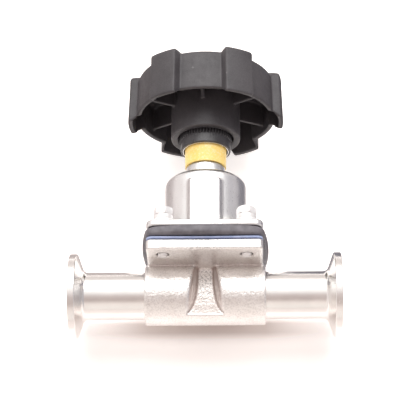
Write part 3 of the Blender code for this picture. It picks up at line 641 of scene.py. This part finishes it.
class Surface:
    """A material's node tree, with coordinates in millimetres of the piece itself."""

    def __init__(self, name, **values):
        self.material = bpy.data.materials.new(name)
        self.material.use_nodes = True
        self.tree = self.material.node_tree
        self.shader = self.tree.nodes["Principled BSDF"]
        for key, value in values.items():
            self.shader.inputs[key.replace("_", " ")].default_value = value
        coordinates = self.node("TexCoord").outputs["Object"]
        self.place = self.vector("SCALE", coordinates, scale=1000.0)

    def node(self, kind, **settings):
        """New shader node of a kind, with its settings."""
        node = self.tree.nodes.new("ShaderNode" + kind)
        for key, value in settings.items():
            setattr(node, key, value)
        return node

    def feed(self, socket, value):
        """Link a socket, or set its constant."""
        if isinstance(value, bpy.types.NodeSocket):
            self.tree.links.new(value, socket)
        else:
            socket.default_value = value

    def vector(self, operation, first, second=None, scale=None):
        """Output of a vector math node."""
        node = self.node("VectorMath", operation=operation)
        self.feed(node.inputs[0], first)
        if second is not None:
            self.feed(node.inputs[1], second)
        if scale is not None:
            node.inputs["Scale"].default_value = scale
        return node.outputs["Value" if operation == "LENGTH" else "Vector"]

    def math(self, operation, first, second=0.0, third=0.0):
        """Output of a math node."""
        node = self.node("Math", operation=operation)
        for socket, value in zip(node.inputs, (first, second, third)):
            self.feed(socket, value)
        return node.outputs[0]

    def noise(self, scale, detail=3.0, rough=0.55, place=None, stretch=(1, 1, 1)):
        """Fractal noise with `scale` features per millimetre."""
        node = self.node("TexNoise")
        self.feed(node.inputs["Vector"], self.vector("MULTIPLY", place or self.place, stretch))
        node.inputs["Scale"].default_value = scale
        node.inputs["Detail"].default_value = detail
        node.inputs["Roughness"].default_value = rough
        return node.outputs["Fac"]

    def rings(self, axis, scale):
        """Noise that changes only along a turned piece's axis and radius, like lathe marks."""
        split = self.node("SeparateXYZ")
        self.feed(split.inputs[0], self.place)
        across = [0.0 if k == "XYZ".index(axis) else 1.0 for k in range(3)]
        radius = self.vector("LENGTH", self.vector("MULTIPLY", self.place, across))
        along = self.math("ADD", split.outputs[axis], radius)
        place = self.node("CombineXYZ")
        self.feed(place.inputs[0], along)
        return self.noise(scale, 4.0, 0.7, place.outputs[0])

    def share_along(self, axis, span):
        """0 to 1 over `span` millimetres along an axis, 0.5 being at the middle."""
        split = self.node("SeparateXYZ")
        self.feed(split.inputs[0], self.place)
        return self.math("MULTIPLY_ADD", split.outputs[axis], 1 / span, 0.5)

    def ramp(self, factor, *stops):
        """Colour or grey ramp from (position, value) stops."""
        node = self.node("ValToRGB")
        elements = node.color_ramp.elements
        while len(elements) < len(stops):
            elements.new(0.5)
        for element, (position, value) in zip(elements, stops):
            element.position = position
            colour = value if isinstance(value, tuple) else (value,) * 3
            element.color = (*colour, 1.0)
        self.feed(node.inputs["Fac"], factor)
        return node.outputs["Color"]

    def mix(self, factor, first, second, blend="MIX"):
        """Blend of two colours."""
        node = self.node("Mix", data_type="RGBA", blend_type=blend)
        self.feed(node.inputs[0], factor)
        for socket, value in ((node.inputs[6], first), (node.inputs[7], second)):
            self.feed(socket, (*value, 1.0) if isinstance(value, tuple) else value)
        return node.outputs[2]

    @classmethod
    def on_tree(cls, tree):
        """Node helper for a tree that belongs to no material."""
        surface = cls.__new__(cls)
        surface.tree = tree
        return surface

    def bump(self, height, distance, strength=1.0, under=None):
        """Bump whose height is in millimetres."""
        node = self.node("Bump")
        node.inputs["Strength"].default_value = strength
        node.inputs["Distance"].default_value = distance * MM
        self.feed(node.inputs["Height"], height)
        if under:
            self.feed(node.inputs["Normal"], under)
        return node.outputs["Normal"]

    def edges(self, low, high):
        """1 along convex edges and 0 on flats and in corners."""
        return self.ramp(self.node("NewGeometry").outputs["Pointiness"], (low, 0.0), (high, 1.0))

    def crease_painted_shade(self, low=0.46, high=0.496):
        """1 in concave corners, where a dark line of painted shade goes, and 0 elsewhere."""
        return self.ramp(self.node("NewGeometry").outputs["Pointiness"], (low, 1.0), (high, 0.0))

    def finish(self, colour, roughness, normal):
        """Connect the looks to the shader and return the material."""
        self.feed(self.shader.inputs["Base Color"], colour)
        self.feed(self.shader.inputs["Roughness"], roughness)
        self.feed(self.shader.inputs["Normal"], normal)
        return self.material


def cast_steel():
    """Blasted investment casting: pebbled warm skin, with painted shade in concave corners, on the web and
    on the recess walls.
    """
    s = Surface("blasted_cast_steel", Metallic=1.0)
    tint = s.ramp(s.noise(0.12, 4), (0.35, (0.87, 0.835, 0.81)), (0.65, (0.95, 0.925, 0.905)))
    # Dark pore speckle: faint all over, and strong on the web as painted shade.
    pores_and_painted_shade = s.ramp(s.noise(1.7, 2), (0.36, 0.50), (0.54, 1.0))
    # Painted shade on the web under the flange: faces turned to Y in the middle and upper part take more of
    # the dark speckle.
    middle = s.ramp(s.share_along("X", WEB_SHADE_SPAN), *mirrored((0.24, 1.0), (0.06, 0.0)))
    facing = s.node("SeparateXYZ")
    s.feed(facing.inputs[0], s.node("NewGeometry").outputs["Normal"])
    upper = s.ramp(s.share_along("Z", WEB_SHADE_SPAN), (0.30, 0.1), (0.50, 1.0))
    web = s.math("MULTIPLY", s.math("MULTIPLY", middle, upper), s.math("ABSOLUTE", facing.outputs["Y"]))
    colour = s.mix(s.math("MULTIPLY_ADD", web, 0.65, 0.3), tint, s.mix(1.0, tint, pores_and_painted_shade, "MULTIPLY"))
    # Painted shade on the recess side walls: faces turned along X near the middle are darkened.
    steep = s.ramp(s.math("ABSOLUTE", facing.outputs["X"]), (0.45, 0.0), (0.75, 1.0))
    colour = s.mix(s.math("MULTIPLY", s.math("MULTIPLY", steep, middle), 0.8), colour, (0.70, 0.62, 0.59))
    # Painted shade: concave corners are darkened.
    colour = s.mix(s.math("MULTIPLY", s.crease_painted_shade(), 0.6), colour, (0.50, 0.42, 0.39))
    roughness = s.ramp(s.noise(0.8, 4), (0.3, 0.28), (0.7, 0.42))
    normal = s.bump(s.noise(1.3, 3, 0.6), 0.20)
    normal = s.bump(s.noise(4.5, 2), 0.03, under=normal)
    return s.finish(colour, roughness, normal)


def turned_steel(name, axis, tint=(0.93, 0.91, 0.89), rough=(0.17, 0.28), depth=0.004):
    """Machined and lightly polished steel with lathe marks round its axis."""
    s = Surface(name, Metallic=1.0)
    shade = tuple(0.93 * channel for channel in tint)
    colour = s.ramp(s.noise(0.09, 4), (0.35, shade), (0.65, tint))
    marks = s.rings(axis, 5.0)
    smear = s.noise(0.35, 5)
    roughness = s.ramp(s.mix(0.5, marks, smear), (0.35, rough[0]), (0.65, rough[1]))
    normal = s.bump(marks, depth)
    normal = s.bump(s.noise(0.12, 2), 0.05, under=normal)
    return s.finish(colour, roughness, normal)


def satin_steel():
    """Bead-blasted bonnet skin with faint turning under it, and painted shade in its concave corners."""
    s = Surface("satin_bonnet_steel", Metallic=1.0)
    colour = s.ramp(s.noise(0.15, 5), (0.3, (0.80, 0.79, 0.785)), (0.7, (0.87, 0.865, 0.86)))
    # Painted shade: concave corners are darkened.
    colour = s.mix(s.math("MULTIPLY", s.crease_painted_shade(), 0.8), colour, (0.42, 0.35, 0.33))
    roughness = s.ramp(s.noise(1.6, 4), (0.3, 0.26), (0.7, 0.40))
    normal = s.bump(s.rings("Z", 3.0), 0.006)
    normal = s.bump(s.noise(3.2, 3), 0.03, under=normal)
    return s.finish(colour, roughness, normal)


def zinc_steel(name):
    """Frosted bright fastener steel with stamped flats, small knocks, dull patches and a painted dark
    reflection along its convex edges.
    """
    s = Surface(name, Metallic=0.4)
    colour = s.ramp(s.noise(0.5, 4), (0.3, (0.86, 0.85, 0.845)), (0.7, (0.95, 0.94, 0.935)))
    # Painted dark reflection: convex edges of heads and washers are darkened.
    colour = s.mix(s.math("MULTIPLY", s.edges(0.52, 0.60), 0.7), colour, (0.46, 0.40, 0.385))
    roughness = s.ramp(s.noise(1.2, 4), (0.3, 0.34), (0.7, 0.5))
    normal = s.bump(s.noise(1.0, 3), 0.03)
    return s.finish(colour, roughness, normal)


def bronze():
    """Bearing bronze of the nut in the neck."""
    s = Surface("gland_bronze", Metallic=1.0)
    colour = s.ramp(s.noise(0.4, 4), (0.3, (0.52, 0.34, 0.15)), (0.7, (0.70, 0.49, 0.24)))
    roughness = s.ramp(s.noise(1.2, 4), (0.3, 0.28), (0.7, 0.42))
    return s.finish(colour, roughness, s.bump(s.rings("Z", 4.0), 0.006))


def grained_plastic(name, dark, light, rough, grain, edge_tone):
    """Glass-filled black plastic: fine spark grain, paler along its edges."""
    s = Surface(name)
    patches = s.ramp(s.noise(0.06, 5), (0.35, dark), (0.65, light))
    speckle = s.ramp(s.noise(3.0, 2), (0.4, 0.86), (0.6, 1.10))
    colour = s.mix(1.0, patches, speckle, "MULTIPLY")
    colour = s.mix(s.math("MULTIPLY", s.edges(0.53, 0.66), 0.6), colour, edge_tone)
    roughness = s.ramp(s.noise(0.5, 4), (0.3, rough[0]), (0.7, rough[1]))
    normal = s.bump(s.noise(2.6, 3), grain)
    return s.finish(colour, roughness, normal)


def yellow_plastic():
    """Gloss yellow moulding, a little scuffed and chalky in places; its whitish mottling is partly scuffing
    and partly a painted highlight.
    """
    s = Surface("indicator_yellow_plastic")
    # Whitish mottling: partly scuffing, partly a painted highlight.
    scuffs_and_painted_highlight = s.ramp(s.noise(1.1, 6, 0.7), (0.50, 0.0), (0.64, 1.0))
    base = s.ramp(s.noise(0.2, 3), (0.3, (0.95, 0.66, 0.17)), (0.7, (1.0, 0.74, 0.23)))
    colour = s.mix(s.math("MULTIPLY", scuffs_and_painted_highlight, 0.7), base, (1.0, 0.87, 0.55))
    roughness = s.ramp(s.noise(0.9, 4), (0.3, 0.24), (0.7, 0.42))
    return s.finish(colour, roughness, s.bump(s.noise(1.4, 4), 0.03))


def black_rubber(name):
    """Matt moulded rubber with a dusty bloom and faint mould lines along its edge."""
    s = Surface(name)
    colour = s.ramp(s.noise(0.3, 5), (0.3, (0.105, 0.098, 0.111)), (0.7, (0.185, 0.173, 0.192)))
    roughness = s.ramp(s.noise(1.0, 4), (0.3, 0.42), (0.7, 0.62))
    lines = s.noise(1.6, 2, place=s.place, stretch=(0.05, 0.05, 2.2))
    normal = s.bump(lines, 0.10)
    return s.finish(colour, roughness, s.bump(s.noise(3.0, 3), 0.03, under=normal))


def film_painted_shade_blue():
    """Thin fluoropolymer sheet, slightly uneven; its blue is painted cool shade on a pale film."""
    s = Surface("diaphragm_film_painted_shade_blue")
    # Painted shade: the blue stands for the cool shade on a pale film.
    colour = s.ramp(s.noise(0.25, 4), (0.3, (0.29, 0.36, 0.58)), (0.7, (0.45, 0.51, 0.72)))
    roughness = s.ramp(s.noise(0.8, 4), (0.3, 0.30), (0.7, 0.45))
    return s.finish(colour, roughness, s.bump(s.noise(1.0, 3), 0.03))


def dress_cad_nodes(steel, casting, fastener, rubber, brass):
    """Materials of the CAD nodes that stay in view as they are."""
    looks = {
        "compressor": casting,
        "diaphragm_stud": steel,
        "spindle": steel,
        "spindle_nut": brass,
        "gland_o_ring": rubber,
        "handwheel_washer": fastener,
        "handwheel_nut": fastener,
    }
    for name, material in looks.items():
        for material_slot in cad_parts[name].material_slots:
            material_slot.material = material


# Studio


CAMERA_AT = (12.955, -600.0, -231.746)
CAMERA_YAW = 0.02
CAMERA_PITCH = 0.423
CAMERA_FOCAL = 1608.43
IMAGE_SIDE = 416
SENSOR = 36.0
LIGHT_AIM = Vector((0.0, 0.0, 0.04))

TABLE_LEAN = radians(5.46)
TABLE_BACK = 24.3
TABLE_REACH = 2000.0

# Painted shadow, painted glow and painted far darkening along the floor: (share of TONE_SPAN about the
# middle, strength)
TONE_SPAN = 200.0
SHADE_ACROSS = ((0.38, 1.0), (0.26, 0.45), (0.20, 0.0))
SHADE_UP = ((0.434, 0.0), (0.448, 0.35), (0.464, 0.95), (0.484, 1.0), (0.504, 0.0))
GLOW_UP = ((0.16, 0.0), (0.25, 0.3), (0.43, 0.3), (0.489, 0.6), (0.504, 1.0), (0.583, 1.0), (0.612, 0.6))
FAR_SHADE_UP = ((0.16, 0.25), (0.25, 0.0))
FLOOR_PALE = (0.93, 0.88, 0.855)
FLOOR_SHADED = (0.5, 0.40, 0.36)

# Cards that only reflections see
CARD_LIFT = 3.0
CARD_HEIGHTS = (10, 300)
CARDS = (
    ("right_card", (33, 400), (0.22, 0.21, 0.24)),
    ("left_card", (-400, -34), (0.56, 0.49, 0.48)),
)

# Sky bands round the flow axis: (degrees from -Y towards +Z, colour)
SKY_BANDS = (
    (-76, (1.02, 0.95, 0.90)),
    (-58, (1.00, 0.90, 0.85)),
    (-50, (0.80, 0.70, 0.66)),
    (-42, (0.58, 0.49, 0.46)),
    (-34, (0.57, 0.48, 0.455)),
    (-19, (0.68, 0.59, 0.57)),
    (-2, (1.10, 1.07, 1.05)),
    (20, (1.30, 1.29, 1.28)),
    (46, (1.20, 1.18, 1.16)),
    (62, (1.02, 0.97, 0.94)),
    (74, (0.75, 0.67, 0.64)),
    (118, (0.97, 0.91, 0.88)),
)
SKY_RIGHT = (0.50, 0.48, 0.51)
SKY_LEFT = (0.92, 0.85, 0.83)


def make_camera():
    """Long lens that looks up at the valve from in front and below."""
    data = bpy.data.cameras.new("camera")
    data.sensor_width = SENSOR
    data.lens = CAMERA_FOCAL / IMAGE_SIDE * SENSOR
    data.clip_start = 0.05
    data.clip_end = 20.0
    camera = bpy.data.objects.new("camera", data)
    camera.location = Vector(CAMERA_AT) * MM
    camera.rotation_euler = (pi / 2 + CAMERA_PITCH, 0.0, CAMERA_YAW)
    bpy.context.scene.collection.objects.link(camera)
    bpy.context.scene.camera = camera


def mirrored(*stops):
    """Ramp stops on both sides of the middle."""
    return sorted(stops) + sorted((1 - place, value) for place, value in stops)


def table_material():
    """Pale floor with a painted glow in bands and a painted soft shadow; it is clear from behind."""
    s = Surface("pale_table", Roughness=0.6, Specular_IOR_Level=0.2)
    s.shader.inputs["Emission Color"].default_value = (1.0, 0.985, 0.975, 1)
    height = s.share_along("Z", TONE_SPAN)
    across = s.ramp(s.share_along("X", TONE_SPAN), *mirrored(*SHADE_ACROSS))
    shade = s.math("MULTIPLY", across, s.ramp(height, *SHADE_UP))
    glow = s.math("SUBTRACT", 1.0, shade)
    near = s.ramp(height, *GLOW_UP)
    far = s.ramp(height, *FAR_SHADE_UP)
    # Painted glow: the floor emits light in bands, dimmed where the shadow is painted.
    s.feed(s.shader.inputs["Emission Strength"], s.math("MULTIPLY", glow, near))
    # Painted shade: the soft shadow, and a darker floor far down.
    dull = s.math("MULTIPLY_ADD", shade, 0.5, far)
    s.feed(s.shader.inputs["Base Color"], s.mix(dull, FLOOR_PALE, FLOOR_SHADED))
    mixer = s.node("MixShader")
    clear = s.node("BsdfTransparent")
    s.feed(mixer.inputs[0], s.node("NewGeometry").outputs["Backfacing"])
    s.feed(mixer.inputs[1], s.shader.outputs[0])
    s.feed(mixer.inputs[2], clear.outputs[0])
    s.feed(s.tree.nodes["Material Output"].inputs["Surface"], mixer.outputs[0])
    return s.material


def make_table():
    """Flat sheet just behind the valve, clear of the diaphragm and of the wheel at each pose."""
    normal = Vector((0.0, -cos(TABLE_LEAN), sin(TABLE_LEAN)))
    side = Vector((1.0, 0.0, 0.0))
    up = normal.cross(side)
    centre = normal * -TABLE_BACK * MM
    reach = TABLE_REACH * MM
    signs = ((-1, -1), (1, -1), (1, 1), (-1, 1))
    corners = [centre + side * (a * reach) + up * (b * reach) for a, b in signs]
    mesh = bpy.data.meshes.new("table")
    mesh.from_pydata([tuple(corner) for corner in corners], [], [(0, 1, 2, 3)])
    mesh.update()
    if mesh.polygons[0].normal.dot(normal) < 0:
        mesh.flip_normals()
    mesh.materials.append(table_material())
    table = bpy.data.objects.new("table", mesh)
    bpy.context.scene.collection.objects.link(table)


def make_card(name, x_range, z_range, colour):
    """Card in front of the floor that glows a flat dark tone and is seen only in reflections, where it
    paints darker bands on the metal.
    """
    material = bpy.data.materials.new(name)
    material.use_nodes = True
    tree = material.node_tree
    tree.nodes.remove(tree.nodes["Principled BSDF"])
    glow = tree.nodes.new("ShaderNodeEmission")
    glow.inputs["Color"].default_value = (*colour, 1.0)
    tree.links.new(glow.outputs[0], tree.nodes["Material Output"].inputs["Surface"])
    corners = []
    for x, z in ((0, 0), (1, 0), (1, 1), (0, 1)):
        height = z_range[z]
        back = (TABLE_BACK + height * sin(TABLE_LEAN)) / cos(TABLE_LEAN) - CARD_LIFT
        corners.append((x_range[x] * MM, back * MM, height * MM))
    mesh = bpy.data.meshes.new(name)
    mesh.from_pydata(corners, [], [(0, 1, 2, 3)])
    mesh.update()
    mesh.materials.append(material)
    card = bpy.data.objects.new(name, mesh)
    bpy.context.scene.collection.objects.link(card)
    for ray in ("camera", "diffuse", "transmission", "volume_scatter", "shadow"):
        setattr(card, f"visible_{ray}", False)


def around(angle, distance):
    """Point at an angle from -Y towards +Z, in the plane of the stem."""
    turn = radians(angle)
    return Vector((0.0, -cos(turn) * distance, sin(turn) * distance))


def softbox(name, angle, distance, size, power, colour):
    """Rectangular area light aimed at the middle of the valve."""
    data = bpy.data.lights.new(name, "AREA")
    data.shape = "RECTANGLE"
    data.size, data.size_y = size
    data.energy = power
    data.color = colour
    light = bpy.data.objects.new(name, data)
    light.location = around(angle, distance)
    aim = LIGHT_AIM - light.location
    light.rotation_euler = aim.to_track_quat("-Z", "Y").to_euler()
    light.visible_camera = False
    bpy.context.scene.collection.objects.link(light)


def make_world():
    """Sky in toned bands round the flow axis, for light and reflections; the camera sees white."""
    world = bpy.data.worlds.new("light_tent")
    world.use_nodes = True
    bpy.context.scene.world = world
    s = Surface.on_tree(world.node_tree)
    background = s.tree.nodes["Background"]
    direction = s.node("TexCoord").outputs["Generated"]
    split = s.node("SeparateXYZ")
    s.feed(split.inputs[0], direction)
    turn = s.math("ARCTAN2", split.outputs["Z"], s.math("MULTIPLY", split.outputs["Y"], -1.0))
    share = s.math("MULTIPLY_ADD", turn, 0.5 / pi, 0.5)
    bands = s.ramp(share, *[(0.5 + angle / 360, colour) for angle, colour in SKY_BANDS])
    right = s.ramp(split.outputs["X"], (0.50, 0.0), (0.85, 1.0))
    left = s.ramp(s.math("MULTIPLY", split.outputs["X"], -1.0), (0.60, 0.0), (0.90, 1.0))
    bands = s.mix(right, bands, SKY_RIGHT)
    bands = s.mix(left, bands, SKY_LEFT)
    plain = s.node("LightPath").outputs["Is Camera Ray"]
    s.feed(background.inputs["Color"], s.mix(plain, bands, (1.0, 1.0, 1.0)))


def make_studio():
    """Camera, floor, cards and light."""
    make_camera()
    make_table()
    for name, x_range, colour in CARDS:
        make_card(name, x_range, CARD_HEIGHTS, colour)
    make_world()
    softbox("key", 35, 0.75, (1.0, 0.55), 4.5, (1.0, 0.995, 0.985))
    bpy.context.scene.view_settings.view_transform = "Standard"


def main():
    """Materials first, then the pieces from the body outwards, then the studio."""
    casting = cast_steel()
    pipe_steel = turned_steel("turned_ferrule_steel", "X")
    stem_steel = turned_steel("turned_stem_steel", "Z")
    fastener = zinc_steel("bright_fastener_steel")
    rubber = black_rubber("moulded_black_rubber")
    wheel_black = grained_plastic(
        "grained_wheel_plastic",
        dark=(0.042, 0.038, 0.042),
        light=(0.062, 0.057, 0.062),
        rough=(0.42, 0.56),
        grain=0.05,
        edge_tone=(0.16, 0.155, 0.16),
    )
    sleeve_black = grained_plastic(
        "smooth_sleeve_plastic",
        dark=(0.034, 0.032, 0.035),
        light=(0.052, 0.049, 0.053),
        rough=(0.26, 0.38),
        grain=0.012,
        edge_tone=(0.10, 0.10, 0.10),
    )
    make_body(casting)
    make_ferrules(pipe_steel)
    make_diaphragm("film", film_field, "diaphragm_face", "face_film", film_painted_shade_blue(), 21.0)
    make_diaphragm("rubber", rubber_field, "diaphragm_backing", "backing_rubber", rubber, 25.0)
    make_bonnet(satin_steel())
    make_indicator(yellow_plastic())
    make_handwheel(wheel_black)
    make_stop_sleeve(sleeve_black)
    make_sleeve_lip(stem_steel)
    make_cap(wheel_black)
    make_fasteners(fastener)
    dress_cad_nodes(stem_steel, casting, fastener, rubber, bronze())
    make_studio()


main()
